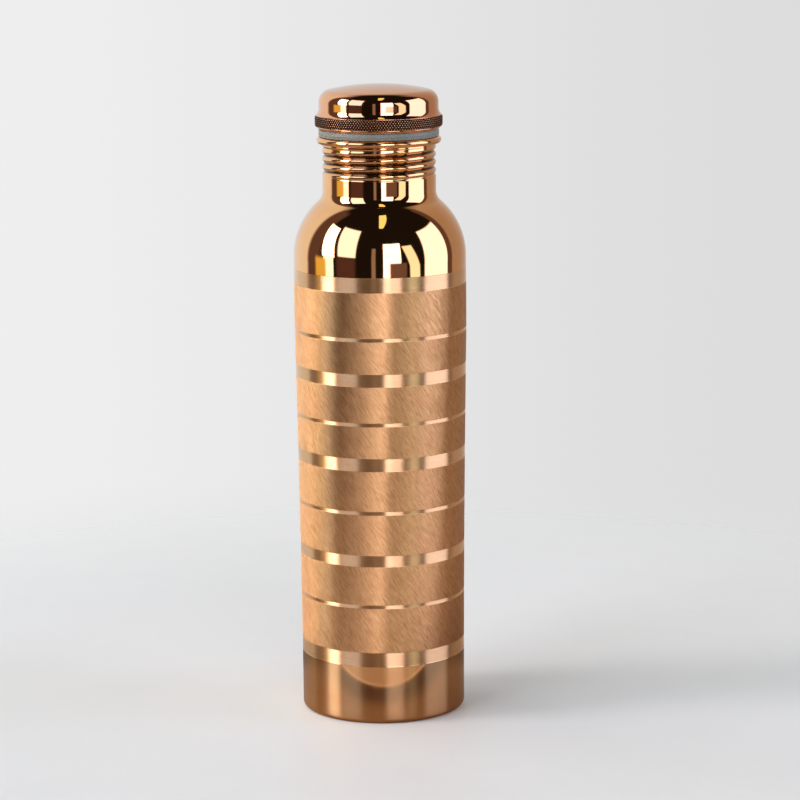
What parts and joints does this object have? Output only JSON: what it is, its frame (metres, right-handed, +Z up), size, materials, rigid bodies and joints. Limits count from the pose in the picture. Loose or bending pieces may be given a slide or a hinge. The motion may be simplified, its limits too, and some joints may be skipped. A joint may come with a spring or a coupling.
{
  "type": "copper water bottle",
  "caption": "Slim copper water bottle with brushed bands, mirror shoulder, rolled neck thread, silicone seal and a knurled, domed screw cap.",
  "frame": {"origin": "centre of the circle that the foot stands on", "axes": "+Z up along the bottle's axis, from the foot to the cap"},
  "size_m": [0.072, 0.072, 0.2645],
  "materials": {
    "body_copper": "mirror shoulder and base, turned bands, diagonally brushed side",
    "base_copper": "satin",
    "silicone": "matte silicone",
    "cap_copper": "mirror polished, with a darkened fine knurl",
    "plug_copper": "polished"
  },
  "bodies": {
    "bottle": {"bottle_body": "body_copper", "base_cup": "base_copper"},
    "seal": {"seal_ring": "silicone"},
    "cap": {"cap_shell": "cap_copper", "cap_plug": "plug_copper"}
  },
  "joints": [
    {"name": "cap_lift", "type": "slide", "parent": "bottle", "child": "seal", "axis": [0, 0, 1], "range_m": [0, 0.0231]},
    {"name": "cap_turn", "type": "hinge", "parent": "seal", "child": "cap", "pos_m": [0, 0, 0.2461], "axis": [0, 0, 1], "range_deg": [0, 2520]}
  ],
  "couplings": [
    {"joint": "cap_lift", "follows": "cap_turn", "m_per_rad": 0.00052521}
  ]
}
